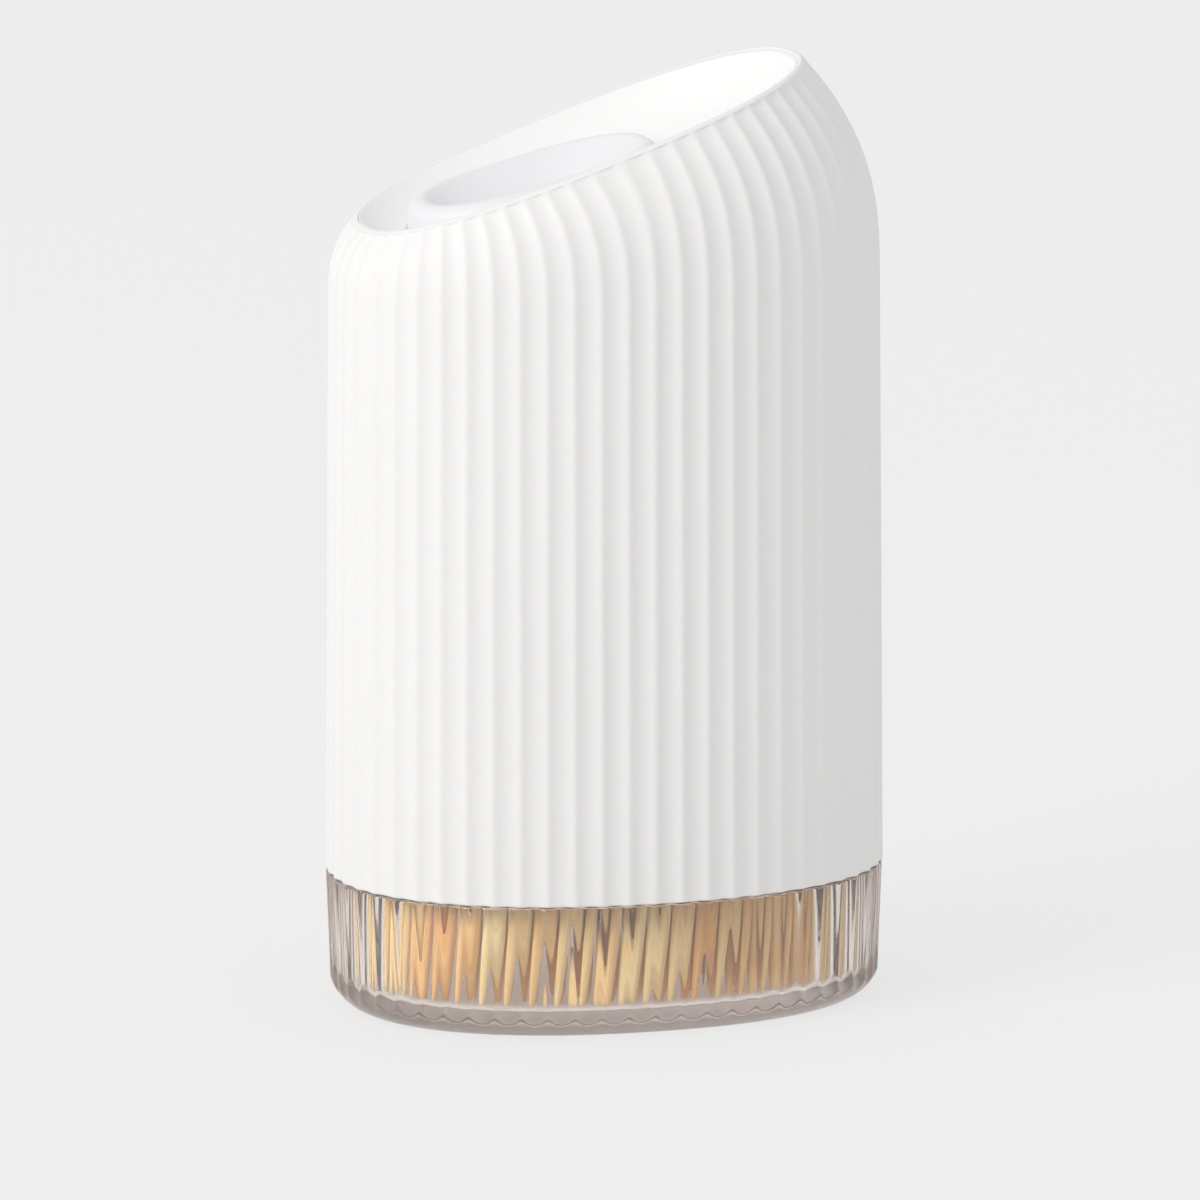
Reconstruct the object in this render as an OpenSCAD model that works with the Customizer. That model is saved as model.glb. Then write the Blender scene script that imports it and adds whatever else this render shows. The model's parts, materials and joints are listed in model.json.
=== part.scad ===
// Press-type toothpick holder. A clear fluted cup holds the toothpicks, and a matte fluted
// shell with a slanted oval mouth is pushed down over the cup's collar. A dish is let into the
// mouth, and a sprung button slides in the well under it. The button's stem goes down round
// one upright toothpick, whose tip comes out of the button when the button is pressed.
// X runs along the body with the mouth's low end at -X, Z is up, and the origin is at the
// centre of the underside.

/* [Body] */
// Height of the mouth's high end above the table
overall_height = 90; // [87:0.5:94]
// Length of the body at the seam
body_length = 53.6; // [52.6:0.2:57]
// Width of the body at the seam
body_width = 38.8; // [38:0.2:42]
// Squareness of the body's oval, where 2 is an ellipse
body_squareness = 2.2; // [2:0.05:2.6]
// Number of flutes round the body
flute_count = 58; // [48:2:66]
// Depth of the shell's flutes between their ridges
flute_depth = 0.3; // [0.2:0.05:0.6]
// Height of the seam between cup and shell
seam_height = 12.8; // [11:0.2:15]
// Gap at the seam
seam_gap = 0.15; // [0.05:0.05:0.3]

/* [Shell] */
// Wall of the shell
shell_wall = 1.5; // [1.2:0.1:1.8]
// Draft of the shell's sides in degrees
shell_draft = 0.6; // [0.2:0.1:1]
// Drop from the mouth's high end to where the dome starts at its low end
low_shoulder_drop = 24.5; // [23:0.5:28]
// Drop from the mouth's high end to where the dome starts there
high_shoulder_drop = 20.5; // [18:0.5:24]
// Roundness of the dome at the mouth's low end
low_roundness = 4; // [3:0.1:4.5]
// Roundness of the dome at the mouth's high end
high_roundness = 2.5; // [2:0.1:3]
// Smooth band between the flutes' ends and the lip
smooth_band = 0.4; // [0.3:0.1:1]
// Length over which a flute runs out
flute_runout = 1.1; // [0.8:0.1:1.6]

/* [Mouth] */
// Length of the mouth
mouth_length = 42; // [41:0.2:44]
// Width of the mouth
mouth_width = 29.7; // [29:0.1:32]
// Squareness of the mouth's oval
mouth_squareness = 2.5; // [2.2:0.1:3]
// Shift of the mouth's centre towards its low end
mouth_shift = 2.6; // [2:0.1:3]
// Slant of the mouth in degrees
mouth_slant = 20; // [17:0.5:21]
// Width of the lip round the mouth
lip_width = 0.5; // [0.45:0.05:0.8]
// Rounding of the lip's edges
lip_round = 0.15; // [0.1:0.05:0.2]
// Depth of the step that the dish is let into
rebate_depth = 2.4; // [2.2:0.1:2.8]
// Width of the ledge under the dish
ledge_width = 0.9; // [0.8:0.1:1.2]
// Thickness of that ledge
ledge_thickness = 1.2; // [1:0.1:1.5]

/* [Dish and well] */
// Depth of the dish at its middle
dish_depth = 4.6; // [4:0.1:5]
// Flatness of the dish's bottom
dish_flatness = 4; // [3:0.1:5]
// Drop of the dish's edge below the lip
dish_drop = 0.05; // [0.02:0.01:0.2]
// Gap between the dish and the lip
dish_gap = 0.05; // [0.04:0.01:0.15]
// Wall of the dish
dish_wall = 1.4; // [1.2:0.1:1.6]
// Wall of the well
well_wall = 1; // [1:0.1:1.5]
// Drop from the mouth's high end to the well's bottom end
well_drop = 37.4; // [36:0.2:39]

/* [Button] */
// Length of the button
button_length = 23; // [22:0.2:23.4]
// Width of the button
button_width = 18.5; // [17.5:0.1:19]
// Squareness of the button's oval
button_squareness = 2.6; // [2.2:0.1:3]
// Shift of the button's centre towards the mouth's low end
button_shift = 7; // [6.6:0.1:7.4]
// Slant of the button's top in degrees
button_slant = 14.6; // [12:0.2:17]
// Drop of the button's edge below the lip, at its centre
button_drop = 1.2; // [0.8:0.1:1.8]
// Rounding of the button's edge
button_round = 1.1; // [0.7:0.1:1.3]
// Depth of the finger scoop
scoop_depth = 2.8; // [2:0.1:3]
// Thickness of the button between the scoop and the stem's end
outlet_depth = 2.1; // [1.6:0.1:2.4]
// Travel of the button
button_travel = 13; // [10:0.5:13]
// Height of the button's skirt
skirt_height = 5.5; // [5:0.1:6]
// Wall of the button
button_wall = 1.4; // [1.2:0.1:1.6]
// Gap between the button and the well
button_gap = 0.3; // [0.2:0.05:0.4]
// Hole in the scoop for the toothpick
outlet_bore = 3.2; // [3:0.1:3.6]
// Diameter of the boss under the button
boss_diameter = 8; // [7.8:0.1:9]
// Depth of the stem's socket in the boss
socket_depth = 3; // [2.4:0.1:3.2]

/* [Stem and guide] */
// Diameter of the stem
stem_diameter = 5; // [4.8:0.1:5.2]
// Bore of the stem
stem_bore = 2.8; // [2.6:0.1:3]
// Fit of the stem in its sockets, on the radius
stem_fit = 0.03; // [0.02:0.01:0.05]
// Running clearance of the stem in its bush, on the radius
bush_clearance = 0.08; // [0.05:0.01:0.1]
// Diameter of the bush
bush_diameter = 8.4; // [8:0.1:9]
// Length of the bush below the guide plate
bush_length = 4; // [3:0.1:5]
// Thickness of the guide plate
plate_thickness = 1.6; // [1.2:0.1:2]
// Height of the plate's rim inside the well
rim_height = 2; // [1.5:0.1:2.5]
// Thickness of that rim
rim_thickness = 1.2; // [1:0.1:1.5]
// Gap between that rim and the well
rim_gap = 0.15; // [0.1:0.05:0.2]

/* [Catcher] */
// Diameter of the catcher cone
cone_diameter = 8; // [7.8:0.1:8.4]
// Gap between the cone and the bush it stops at
stop_gap = 0.15; // [0.1:0.05:0.3]
// Depth of the stem's socket in the cone
cone_socket = 4; // [3:0.1:4.5]
// Width of the cone's mouth
cone_mouth = 7.2; // [6.8:0.1:7.4]
// Height of the cone's mouth
cone_mouth_height = 3; // [2.5:0.1:3.5]
// Height of the grip sleeve
sleeve_height = 1.6; // [1.2:0.1:1.8]
// Bore of the grip sleeve
sleeve_bore = 2.3; // [2.2:0.05:2.5]

/* [Spring] */
// Diameter of the spring's wire
wire_diameter = 0.7; // [0.6:0.05:0.75]
// Diameter of the spring between wire centres
spring_diameter = 6.7; // [6.5:0.1:6.8]
// Turns of the spring
spring_turns = 7; // [5:1:7]
// Gap at each end of the spring
spring_gap = 0.05; // [0.02:0.01:0.1]

/* [Cup] */
// Depth of the cup's flutes between their ridges
cup_flute_depth = 0.45; // [0.2:0.05:0.6]
// Wall of the cup
cup_wall = 2.4; // [2.1:0.1:2.6]
// Draft of the cup's sides in degrees
cup_draft = 2; // [1:0.5:3]
// Rounding of the cup's bottom edge
cup_round = 3.2; // [2.4:0.1:3.6]
// Thickness of the cup's floor
floor_thickness = 2.4; // [2:0.1:3]
// Rounding between the cup's floor and wall
floor_round = 1; // [0.6:0.1:1.4]
// Height of the collar that goes up into the shell
collar_height = 4.5; // [3.5:0.1:6]
// Wall of the collar
collar_wall = 1; // [0.8:0.1:1.2]
// Gap between the collar and the shell
collar_gap = 0.25; // [0.15:0.05:0.3]

/* [Toothpicks] */
// Length of a toothpick
pick_length = 65; // [62:0.5:66]
// Diameter of a toothpick
pick_diameter = 1.8; // [1.6:0.05:1.9]
// Length of a toothpick's tapered end
taper_length = 6; // [4:0.5:12]
// Diameter at a toothpick's tip
tip_diameter = 0.6; // [0.4:0.1:0.8]
// Gap under the toothpicks' feet and round the pack of toothpicks
pick_gap = 0.2; // [0.15:0.05:0.4]
// Lean of the outer ring's toothpicks in degrees
pick_lean = 10; // [4:0.5:11]
// Distance between neighbours in a ring of toothpicks
pick_spacing = 2.2; // [2.2:0.1:4]
// Distance between rings of toothpicks
ring_step = 2; // [1.95:0.05:3]
// Rings of toothpicks
ring_count = 4; // [2:1:4]

/* [Hidden] */
$fn = 48;

// Places along Z and slants
mouth_slope = tan(mouth_slant);
button_slope = tan(button_slant);
mouth_level = overall_height - (mouth_length / 2 - mouth_shift) * mouth_slope;
button_level = mouth_level - button_shift * mouth_slope - button_drop;
scoop_floor = button_level - scoop_depth;
socket_roof = scoop_floor - outlet_depth;
boss_bottom = socket_roof - socket_depth;
well_bottom = overall_height - well_drop;
plate_bottom = well_bottom - plate_thickness;
bush_bottom = plate_bottom - bush_length;
cone_top = bush_bottom - stop_gap;
stem_bottom = cone_top - cone_socket;
sleeve_bottom = stem_bottom - sleeve_height;
cone_bottom = sleeve_bottom - cone_mouth_height;
foot_level = floor_thickness + pick_gap;

// Insets from the body's outline at the seam
collar_inset = shell_wall + collar_gap;
collar_inner_inset = collar_inset + collar_wall;
cup_inner_inset = cup_wall + seam_height * tan(cup_draft);

// Overrun of a cut past the face that it opens
overrun = 0.5;

// Where the middle of the front lies on an oval, as a share of the way round
front_share = 0.75;

// Points of a flute, and how often rings of other finenesses take one
points_per_flute = 4;
smooth_step = 2;

// Turns of the rings in the flutes' run-out, the button's edge and the cup's edge
runout_turns = [30, 60, 90];
button_turns = [0, 30, 60, 90];
cup_turns = [0, 18, 36, 54, 72, 90];

// Climb of the dome's rings, as shares of the climb below the flutes' run-out
dome_shares = [0, 0.3, 0.55, 0.75, 0.9, 1];
// Climb of the dome's inner rings, from the ledge down
inner_dome_shares = [0.6, 0.4, 0.2, 0];
// Way from the mouth to the well for the dish's rings
dish_shares = [0, 0.12, 0.28, 0.5, 0.75, 1];
// The same for its underside, from the well back to the mouth
dish_underside_shares = [0.75, 0.5];
// Way from the button's edge to its outlet for the scoop's rings
scoop_shares = [0.15, 0.35, 0.6, 0.8, 1];

// Ovals

function power(value, exponent) = sign(value) * pow(abs(value), exponent);

// A point of an oval with half-axes a and b at angle t, and its outward direction
function oval_point(a, b, n, t) = [a * power(cos(t), 2 / n), b * power(sin(t), 2 / n)];
function oval_normal(a, b, n, t) =
    let (v = [power(cos(t), 2 - 2 / n) / a, power(sin(t), 2 - 2 / n) / b]) v / norm(v);

// How far a point lies out from an oval's centre, where 1 is on the oval
function oval_radius(a, b, n, p) = pow(pow(abs(p.x) / a, n) + pow(abs(p.y) / b, n), 1 / n);

// Half the width of an oval at a place x along it
function oval_half_width(a, b, n, x) = b * pow(max(0, 1 - pow(abs(x) / a, n)), 1 / n);

// Way travelled along the oval against angle, in whole degrees
function perimeter_table(a, b, n) =
    [for (t = 0, way = 0; t <= 360;
        way = way + norm(oval_point(a, b, n, t + 1) - oval_point(a, b, n, t)), t = t + 1) [way, t]];

// Angles of points evenly spaced round an oval, from the middle of its front
function even_angles(a, b, n, count) =
    let (table = perimeter_table(a, b, n), whole = table[360][0])
    [for (i = [0:count - 1]) lookup((front_share + i / count) % 1 * whole, table)];

function every(list, step) = [for (i = [0:step:len(list) - 1]) list[i]];

// Lofts: a ring is a list of points, counter-clockwise from above, and the next ring has as
// many points, or a whole multiple or fraction of them

function band(a, a_count, b, b_count) =
    a_count == b_count
    ? [for (i = [0:a_count - 1]) let (j = (i + 1) % a_count)
        each [[a + i, b + i, b + j], [a + i, b + j, a + j]]]
    : a_count > b_count
    ? let (k = a_count / b_count)
        [for (j = [0:b_count - 1]) each concat(
            [for (i = [0:k - 1]) [a + j * k + i, b + j, a + (j * k + i + 1) % a_count]],
            [[a + (j + 1) * k % a_count, b + j, b + (j + 1) % b_count]])]
    : let (k = b_count / a_count)
        [for (j = [0:a_count - 1]) each concat(
            [for (i = [0:k - 1]) [a + j, b + j * k + i, b + (j * k + i + 1) % b_count]],
            [[a + j, b + (j + 1) * k % b_count, a + (j + 1) % a_count]])];

function ring_starts(rings) =
    [for (i = 0, start = 0; i < len(rings); start = start + len(rings[i]), i = i + 1) start];

// A solid between two flat ends, or one that closes on its first ring
module loft(rings, closed = false) {
    starts = ring_starts(rings);
    last = len(rings) - 1;
    bands = [for (i = [0:last - 1]) each
        band(starts[i], len(rings[i]), starts[i + 1], len(rings[i + 1]))];
    ends = closed
        ? band(starts[last], len(rings[last]), 0, len(rings[0]))
        : [[for (i = [0:len(rings[0]) - 1]) i],
            [for (i = [len(rings[last]) - 1:-1:0]) starts[last] + i]];
    polyhedron(points = [for (ring = rings) each ring], faces = concat(bands, ends),
        convexity = 8);
}

// The body's outline

body_a = body_length / 2;
body_b = body_width / 2;
fine_angles = even_angles(body_a, body_b, body_squareness, flute_count * points_per_flute);
smooth_angles = every(fine_angles, smooth_step);
hidden_angles = every(fine_angles, points_per_flute);

// Depth of the flutes at each point, 0 on a ridge and 1 in the middle of a flute
function flute_share(angles, i) =
    len(angles) == len(fine_angles)
    ? let (u = i % points_per_flute / points_per_flute) 4 * u * (1 - u)
    : 0;

function body_normal(t) = oval_normal(body_a, body_b, body_squareness, t);
function body_point(t, inset) =
    oval_point(body_a, body_b, body_squareness, t) - inset * body_normal(t);

// A level ring, inset from the seam's outline and never less than its flutes
function level_ring(z, draft, inset, flutes, angles) =
    [for (i = [0:len(angles) - 1])
        let (p = body_point(angles[i], draft + max(inset, flutes * flute_share(angles, i))))
        [p.x, p.y, z]];

// The mouth, whose points share the body's angles

mouth_a = mouth_length / 2;
mouth_b = mouth_width / 2;

function mouth_plane(x) = mouth_level + x * mouth_slope;

function mouth_ring(inset, drop, angles) =
    [for (t = angles)
        let (p = oval_point(mouth_a - inset, mouth_b - inset, mouth_squareness, t),
            x = p.x - mouth_shift)
        [x, p.y, mouth_plane(x) - drop]];

// Height where the dome starts, where far goes from 0 at the mouth's low end to 1 at its high end
function shoulder_level(far) =
    overall_height - low_shoulder_drop + (low_shoulder_drop - high_shoulder_drop) * far;

// A point of the dome between the shoulder and the mouth: it climbs evenly, and draws in
// with a power of its climb
function dome_point(t, climb, drop, inset, lowering) =
    let (rim = oval_point(mouth_a, mouth_b, mouth_squareness, t) - [mouth_shift, 0],
        far = (rim.x + mouth_shift + mouth_a) / mouth_length,
        shoulder = shoulder_level(far),
        roundness = low_roundness + (high_roundness - low_roundness) * far,
        rise = mouth_plane(rim.x) - shoulder,
        share = climb * (1 - drop / rise),
        wall = body_point(t, (shoulder - seam_height) * tan(shell_draft)),
        p = wall + (rim - wall) * pow(share, roundness) - inset * body_normal(t))
    [p.x, p.y, shoulder + rise * share - lowering * share];

function dome_ring(climb, drop, flutes, angles) =
    [for (i = [0:len(angles) - 1])
        dome_point(angles[i], climb, drop, flutes * flute_share(angles, i), 0)];

function inner_dome_ring(climb) =
    [for (t = hidden_angles) dome_point(t, climb, 0, shell_wall, shell_wall)];

module outer_shell() {
    foot = seam_height + seam_gap;
    runout_start = smooth_band + flute_runout;
    inner = lip_width + ledge_width;
    color("white") loft(concat(
        [level_ring(foot, 0, 0, flute_depth, fine_angles)],
        [for (climb = dome_shares) dome_ring(climb, runout_start, flute_depth, fine_angles)],
        [for (turn = runout_turns)
            dome_ring(1, runout_start - flute_runout * sin(turn), flute_depth * cos(turn), fine_angles)],
        [dome_ring(1, lip_round, 0, smooth_angles),
            mouth_ring(lip_round, 0, smooth_angles),
            mouth_ring(lip_width - lip_round, 0, smooth_angles),
            mouth_ring(lip_width, lip_round, smooth_angles),
            mouth_ring(lip_width, rebate_depth, smooth_angles),
            mouth_ring(inner, rebate_depth, hidden_angles),
            mouth_ring(inner, rebate_depth + ledge_thickness, hidden_angles)],
        [for (climb = inner_dome_shares) inner_dome_ring(climb)],
        [level_ring(foot, 0, shell_wall, 0, hidden_angles)]), closed = true);
}

// The well and the button share one oval

button_a = button_length / 2;
button_b = button_width / 2;
oval_angles = even_angles(button_a, button_b, button_squareness, len(smooth_angles));
hidden_oval_angles = every(oval_angles, smooth_step);

function button_plane(x) = button_level + (x + button_shift) * button_slope;

function button_oval(outset, t) =
    oval_point(button_a + outset, button_b + outset, button_squareness, t) - [button_shift, 0];

// A level ring of that oval, and one that is parallel to the button's top
function well_ring(outset, z, angles) = [for (t = angles) let (p = button_oval(outset, t)) [p.x, p.y, z]];
function button_ring(outset, drop, angles) =
    [for (t = angles) let (p = button_oval(outset, t)) [p.x, p.y, button_plane(p.x) - drop]];

// The dish's surface, lowered from the mouth's plane
function dish_level(p) =
    let (edge = lip_width + dish_gap,
        out = oval_radius(mouth_a - edge, mouth_b - edge, mouth_squareness, p + [mouth_shift, 0]))
    mouth_plane(p.x) - dish_drop - dish_depth * (1 - pow(min(1, out), dish_flatness));

// A ring of the dish, part of the way from the mouth to the well
function dish_ring(inset, outset, share, drop, angles) =
    [for (t = angles)
        let (rim = oval_point(mouth_a - inset, mouth_b - inset, mouth_squareness, t) - [mouth_shift, 0],
            p = rim + (button_oval(outset, t) - rim) * share)
        [p.x, p.y, dish_level(p) - drop]];

module dish_insert() {
    inset = lip_width + dish_gap;
    hole = button_gap;
    outside = button_gap + well_wall;
    color("white") loft(concat(
        [mouth_ring(inset, rebate_depth, hidden_oval_angles)],
        [for (share = dish_shares) dish_ring(inset, hole, share, 0, oval_angles)],
        [well_ring(hole, well_bottom, hidden_oval_angles),
            well_ring(outside, well_bottom, hidden_oval_angles)],
        [for (share = dish_underside_shares)
            dish_ring(inset, outside, share, dish_wall, hidden_oval_angles)],
        [mouth_ring(inset + ledge_width, rebate_depth, hidden_oval_angles)]),
        closed = true);
}

module guide_plate() {
    color("white") difference() {
        union() {
            translate([0, 0, plate_bottom]) linear_extrude(plate_thickness)
                polygon([for (t = hidden_oval_angles) button_oval(button_gap + well_wall, t)]);
            translate([0, 0, plate_bottom]) linear_extrude(plate_thickness + rim_height)
                polygon([for (t = hidden_oval_angles) button_oval(button_gap - rim_gap, t)]);
            on_stem_axis(bush_bottom) cylinder(d = bush_diameter, h = bush_length + overrun);
        }
        translate([0, 0, well_bottom]) linear_extrude(rim_height + overrun)
            polygon([for (t = hidden_oval_angles)
                button_oval(button_gap - rim_gap - rim_thickness, t)]);
        on_stem_axis(bush_bottom - overrun)
            cylinder(r = stem_diameter / 2 + bush_clearance,
                h = bush_length + plate_thickness + 2 * overrun);
    }
}

// The button and what hangs from it

module on_stem_axis(z) {
    translate([-button_shift, 0, z]) children();
}

function circle_ring(radius, z, angles) =
    [for (t = angles) [radius * cos(t) - button_shift, radius * sin(t), z]];
function slanted_circle_ring(radius, drop, angles) =
    [for (p = circle_ring(radius, 0, angles)) [p.x, p.y, button_plane(p.x) - drop]];

// The scoop is deepest at the outlet and meets the button's edge in a curve
function scoop_ring(share) =
    [for (t = oval_angles)
        let (rim = button_oval(-button_round, t),
            middle = [outlet_bore * cos(t) - button_shift, outlet_bore * sin(t)],
            p = rim + (middle - rim) * share,
            slanted = button_plane(p.x) - scoop_depth * (1 - pow(1 - share, 2)))
        [p.x, p.y, slanted + (scoop_floor - slanted) * pow(share, 3)]];

// It is worked from the flat end of the boss, over the roof inside the skirt and up outside
module push_button() {
    roof_drop = scoop_depth + button_wall;
    boss_radius = boss_diameter / 2;
    color("white") difference() {
        loft(concat(
            [circle_ring(boss_radius, boss_bottom, hidden_oval_angles),
                slanted_circle_ring(boss_radius, roof_drop, hidden_oval_angles),
                button_ring(-button_wall, roof_drop, hidden_oval_angles),
                button_ring(-button_wall, skirt_height, hidden_oval_angles),
                button_ring(0, skirt_height, oval_angles)],
            [for (turn = button_turns)
                button_ring(-button_round * (1 - cos(turn)), button_round * (1 - sin(turn)), oval_angles)],
            [for (share = scoop_shares) scoop_ring(share)]));
        on_stem_axis(socket_roof - overrun)
            cylinder(d = outlet_bore, h = scoop_floor - socket_roof + 2 * overrun);
        on_stem_axis(boss_bottom - overrun)
            cylinder(r = stem_diameter / 2 + stem_fit, h = socket_depth + overrun);
    }
}

module button_stem() {
    color("white") on_stem_axis(stem_bottom) difference() {
        cylinder(d = stem_diameter, h = socket_roof - stem_bottom);
        translate([0, 0, -overrun])
            cylinder(d = stem_bore, h = socket_roof - stem_bottom + 2 * overrun);
    }
}

module catcher_cone() {
    color("white") on_stem_axis(cone_bottom) difference() {
        cylinder(d = cone_diameter, h = cone_top - cone_bottom);
        translate([0, 0, cone_mouth_height])
            cylinder(r = stem_diameter / 2 + stem_fit, h = cone_top - sleeve_bottom + overrun);
        cylinder(d1 = cone_mouth, d2 = stem_bore, h = cone_mouth_height);
    }
}

module grip_sleeve() {
    color("gray") on_stem_axis(sleeve_bottom) difference() {
        cylinder(d = stem_diameter, h = sleeve_height);
        translate([0, 0, -overrun]) cylinder(d = sleeve_bore, h = sleeve_height + 2 * overrun);
    }
}

// The spring is one tube, each ring of its wire lying in the plane through the stem's axis

spring_foot = well_bottom + wire_diameter / 2 + spring_gap;
spring_climb = boss_bottom - well_bottom - wire_diameter - 2 * spring_gap;
rings_per_turn = 8;
wire_sides = 6;

function wire_ring(i) =
    let (t = 360 * i / rings_per_turn, z = spring_foot + spring_climb * i / (rings_per_turn * spring_turns))
    [for (side = [0:wire_sides - 1])
        let (turn = 360 * side / wire_sides, r = (spring_diameter + wire_diameter * cos(turn)) / 2)
        [r * cos(t) - button_shift, r * sin(t), z + wire_diameter / 2 * sin(turn)]];

spring_rings = [for (i = [0:rings_per_turn * spring_turns]) wire_ring(i)];
spring_least_gap = min([for (i = [0:rings_per_turn * (spring_turns - 1)])
    for (p = spring_rings[i]) for (q = spring_rings[i + rings_per_turn]) norm(p - q)]);
echo(spring_least_gap = spring_least_gap);

module return_spring() {
    color("silver") loft([for (i = [len(spring_rings) - 1:-1:0]) spring_rings[i]]);
}

// The cup

module base_cup() {
    inner = cup_inner_inset;
    color("lightgray", 0.5) loft(concat(
        [for (turn = cup_turns)
            let (z = cup_round * (1 - cos(turn)))
            level_ring(z, (seam_height - z) * tan(cup_draft), cup_round * (1 - sin(turn)),
                cup_flute_depth, turn == 0 ? hidden_angles : fine_angles)],
        [level_ring(seam_height, 0, 0, cup_flute_depth, fine_angles),
            level_ring(seam_height, 0, collar_inset, 0, hidden_angles),
            level_ring(seam_height + collar_height, 0, collar_inset, 0, hidden_angles),
            level_ring(seam_height + collar_height, 0, collar_inner_inset, 0, hidden_angles),
            level_ring(floor_thickness + floor_round, 0, inner, 0, hidden_angles),
            level_ring(floor_thickness, 0, inner + floor_round, 0, hidden_angles)]));
}

// Toothpicks

module toothpick(foot, top) {
    way = top - foot;
    lean = norm([way.x, way.y]);
    color("burlywood") translate([foot.x, foot.y, foot_level])
        rotate([0, asin(lean / pick_length), atan2(way.y, way.x)])
            rotate_extrude() polygon([[0, 0], [tip_diameter / 2, 0], [pick_diameter / 2, taper_length],
                [pick_diameter / 2, pick_length - taper_length], [tip_diameter / 2, pick_length],
                [0, pick_length]]);
}

module ready_toothpick() {
    toothpick([-button_shift, 0], [-button_shift, 0]);
}

// The toothpicks stand in rings along the wall, and every ring is twisted by the same share of
// its way round, so that each toothpick leans along its ring

function ring_inset(ring) = cup_inner_inset + pick_diameter / 2 + pick_gap + ring * ring_step;
function ring_table(ring) =
    perimeter_table(body_a - ring_inset(ring), body_b - ring_inset(ring), body_squareness);
twist_share = pick_length * sin(pick_lean) / ring_table(0)[360][0];

// Foot and top of each toothpick of a ring
function ring_places(ring) =
    let (table = ring_table(ring),
        way = table[360][0],
        count = floor(way / pick_spacing),
        a = body_a - ring_inset(ring),
        b = body_b - ring_inset(ring))
    [for (i = [0:count - 1])
        let (share = front_share + (i + ring % 2 / 2) / count)
        [for (end_share = [share, share + twist_share])
            oval_point(a, b, body_squareness, lookup(end_share % 1 * way, table))]];

// A toothpick stays if it keeps clear of the upright one, of the catcher's way and of the well

way_step = pick_diameter / 6;
function place_at(place, z) = place[0] + (place[1] - place[0]) * (z - foot_level) / pick_length;
function stem_distance(place, low, high) =
    min([for (z = [low:way_step:high]) norm(place_at(place, z) + [button_shift, 0])]);
function well_radius(place, z) =
    let (room = button_gap + well_wall + pick_diameter / 2 + 2 * pick_gap)
    oval_radius(button_a + room, button_b + room, button_squareness,
        place_at(place, z) + [button_shift, 0]);

function is_clear(place) =
    let (pressed_cone = cone_bottom - button_travel,
        tips = foot_level + pick_length)
    stem_distance(place, foot_level, cone_bottom) > pick_diameter + pick_gap
    && stem_distance(place, pressed_cone, tips) > (cone_diameter + pick_diameter) / 2 + 2 * pick_gap
    && min([for (z = [bush_bottom:way_step:tips]) well_radius(place, z)]) > 1;

module toothpick_ring(ring, front = true, rear = true) {
    for (place = ring_places(ring)) {
        if ((place[0].y < pick_gap ? front : rear) && is_clear(place)) toothpick(place[0], place[1]);
    }
}

module front_toothpicks() {
    toothpick_ring(0, rear = false);
}

module rear_toothpicks() {
    toothpick_ring(0, front = false);
}

module inner_toothpicks() {
    for (ring = [1:ring_count - 1]) toothpick_ring(ring);
}

base_cup();
front_toothpicks();
rear_toothpicks();
inner_toothpicks();
ready_toothpick();
outer_shell();
dish_insert();
guide_plate();
return_spring();
push_button();
button_stem();
catcher_cone();
grip_sleeve();
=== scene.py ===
# Press-type toothpick holder: fluted white shell with a slanted mouth, standing in a clear
# fluted cup of toothpicks. Lengths are in metres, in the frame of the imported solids.

import json
import math
import bpy
import numpy as np
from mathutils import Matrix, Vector


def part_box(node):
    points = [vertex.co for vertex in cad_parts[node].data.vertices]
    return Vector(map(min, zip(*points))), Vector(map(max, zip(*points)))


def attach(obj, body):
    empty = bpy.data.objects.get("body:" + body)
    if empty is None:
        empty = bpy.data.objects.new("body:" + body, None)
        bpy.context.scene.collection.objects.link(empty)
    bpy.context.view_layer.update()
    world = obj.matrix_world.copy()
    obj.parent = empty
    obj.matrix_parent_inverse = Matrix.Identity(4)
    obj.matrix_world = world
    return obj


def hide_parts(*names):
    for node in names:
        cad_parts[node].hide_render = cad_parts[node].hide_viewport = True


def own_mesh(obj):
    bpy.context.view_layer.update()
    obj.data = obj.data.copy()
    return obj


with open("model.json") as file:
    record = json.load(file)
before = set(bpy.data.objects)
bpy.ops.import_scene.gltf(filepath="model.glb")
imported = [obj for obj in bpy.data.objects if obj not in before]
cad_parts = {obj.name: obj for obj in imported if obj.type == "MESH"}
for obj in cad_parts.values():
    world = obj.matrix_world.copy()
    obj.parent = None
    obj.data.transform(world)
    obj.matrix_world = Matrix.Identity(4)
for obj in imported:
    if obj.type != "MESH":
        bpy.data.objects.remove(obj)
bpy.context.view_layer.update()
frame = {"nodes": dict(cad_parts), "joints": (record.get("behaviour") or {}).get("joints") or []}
print("frame loaded:", len(frame["nodes"]), "nodes")

mm = 0.001
fullTurn = 2 * math.pi
buttonTravel = next(joint["range_m"][1] for joint in frame["joints"]
                    if joint["name"] == "button_press")


# Ovals, worked out as whole arrays

def signedPower(value, exponent):
    return np.sign(value) * np.abs(value) ** exponent


# x and y go as the signed 2/squareness powers of the turn's cosine and sine
def ovalPoints(halfLength, halfWidth, squareness, turn):
    x = halfLength * signedPower(np.cos(turn), 2 / squareness)
    y = halfWidth * signedPower(np.sin(turn), 2 / squareness)
    return np.stack(np.broadcast_arrays(x, y), axis=-1)


# the gradient of (x/a)^n + (y/b)^n at the same turn, made one long
def ovalNormals(halfLength, halfWidth, squareness, turn):
    x = signedPower(np.cos(turn), 2 - 2 / squareness) / halfLength
    y = signedPower(np.sin(turn), 2 - 2 / squareness) / halfWidth
    normal = np.stack(np.broadcast_arrays(x, y), axis=-1)
    return normal / np.linalg.norm(normal, axis=-1, keepdims=True)


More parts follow.
